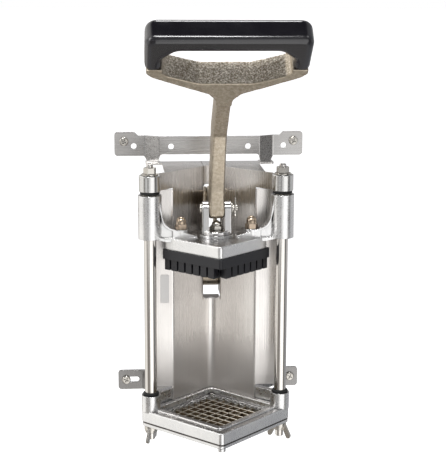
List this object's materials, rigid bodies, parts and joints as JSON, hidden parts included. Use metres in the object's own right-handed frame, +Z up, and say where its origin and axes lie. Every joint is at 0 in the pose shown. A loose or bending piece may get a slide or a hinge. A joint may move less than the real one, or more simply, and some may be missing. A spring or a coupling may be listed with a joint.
{
  "type": "vegetable dicer",
  "caption": "Wall-mounted hand vegetable dicer: a cast lever drives a toothed pusher head down two guide rods through a diamond-set blade grid.",
  "frame": {"origin": "centre of the four wall screws, on the wall plane", "axes": "+X to the operator's right, +Y into the wall, +Z up; the operator stands on the -Y side"},
  "size_m": [0.231, 0.3043, 0.4969],
  "materials": {
    "cast_aluminium": "cast, tumbled and partly polished",
    "sleeve_aluminium": "turned, bright",
    "panel_stainless": "fine vertical brushed",
    "strap_stainless": "satin sheet, deburred edges",
    "rod_chrome": "ground and polished",
    "polished_steel": "machined, bright",
    "hardware_steel": "bright zinc plate",
    "blade_steel": "ground cutting strip",
    "label_blank": "blank plate, no marking",
    "black_rubber": "matt",
    "bushing_plastic": "plain bearing sleeve",
    "pusher_plastic": "moulded charcoal, satin",
    "cast_bronze": "rough sand-cast, nickel-bronze colour",
    "grip_vinyl": "dipped, glossy black"
  },
  "bodies": {
    "frame": {"base_casting": "cast_aluminium", "blade_frame": "cast_aluminium", "blade_upper_1": "blade_steel", "blade_upper_2": "blade_steel", "blade_upper_3": "blade_steel", "blade_upper_4": "blade_steel", "blade_upper_5": "blade_steel", "blade_upper_6": "blade_steel", "blade_upper_7": "blade_steel", "blade_lower_1": "blade_steel", "blade_lower_2": "blade_steel", "blade_lower_3": "blade_steel", "blade_lower_4": "blade_steel", "blade_lower_5": "blade_steel", "blade_lower_6": "blade_steel", "blade_lower_7": "blade_steel", "frame_screws": "hardware_steel", "guide_rod_left": "rod_chrome", "guide_rod_right": "rod_chrome", "top_sleeve_left": "sleeve_aluminium", "top_sleeve_right": "sleeve_aluminium", "base_bumper_left": "black_rubber", "base_bumper_right": "black_rubber", "top_bumper_left": "black_rubber", "top_bumper_right": "black_rubber", "rod_washers": "hardware_steel", "rod_nuts": "hardware_steel", "back_panel": "panel_stainless", "top_plate": "panel_stainless", "label_plate": "label_blank", "wall_strap": "strap_stainless", "lower_bracket_left": "strap_stainless", "lower_bracket_right": "strap_stainless", "bracket_bolts": "hardware_steel", "wall_screws": "hardware_steel", "fulcrum_bracket": "strap_stainless", "fulcrum_pin": "hardware_steel"},
    "carriage": {"head_casting": "cast_aluminium", "bushing_left": "bushing_plastic", "bushing_right": "bushing_plastic", "pusher_block": "pusher_plastic", "pusher_studs": "hardware_steel", "cap_nuts": "hardware_steel", "clevis": "polished_steel", "clevis_stud": "hardware_steel", "clevis_nut": "hardware_steel", "clevis_pin": "hardware_steel", "pin_washer": "hardware_steel", "hairpin_clip": "hardware_steel"},
    "lever": {"lever_arm": "cast_bronze", "lever_grip": "grip_vinyl"},
    "link": {"link": "cast_bronze", "link_pin_heads": "hardware_steel"},
    "wing_nut_left": {"wing_nut_left": "hardware_steel"},
    "wing_nut_right": {"wing_nut_right": "hardware_steel"}
  },
  "joints": [
    {"name": "head_slide", "type": "slide", "parent": "frame", "child": "carriage", "axis": [0, 0, -1], "range_m": [0, 0.18]},
    {"name": "lever_pivot", "type": "hinge", "parent": "carriage", "child": "lever", "pos_m": [0, -0.116, 0.0882], "axis": [1, 0, 0], "range_deg": [0, 91.68]},
    {"name": "link_pivot", "type": "hinge", "parent": "frame", "child": "link", "pos_m": [0, -0.019, -0.0125], "axis": [1, 0, 0], "range_deg": [0, 80.2]},
    {"name": "wing_nut_left_turn", "type": "hinge", "parent": "frame", "child": "wing_nut_left", "pos_m": [-0.0762, -0.116, -0.1755], "axis": [0, 0, 1], "continuous": true},
    {"name": "wing_nut_right_turn", "type": "hinge", "parent": "frame", "child": "wing_nut_right", "pos_m": [0.0762, -0.116, -0.1755], "axis": [0, 0, 1], "continuous": true}
  ],
  "couplings": [
    {"joint": "lever_pivot", "follows": "head_slide", "rad_per_m": 8.8606},
    {"joint": "link_pivot", "follows": "head_slide", "rad_per_m": 7.7475}
  ]
}
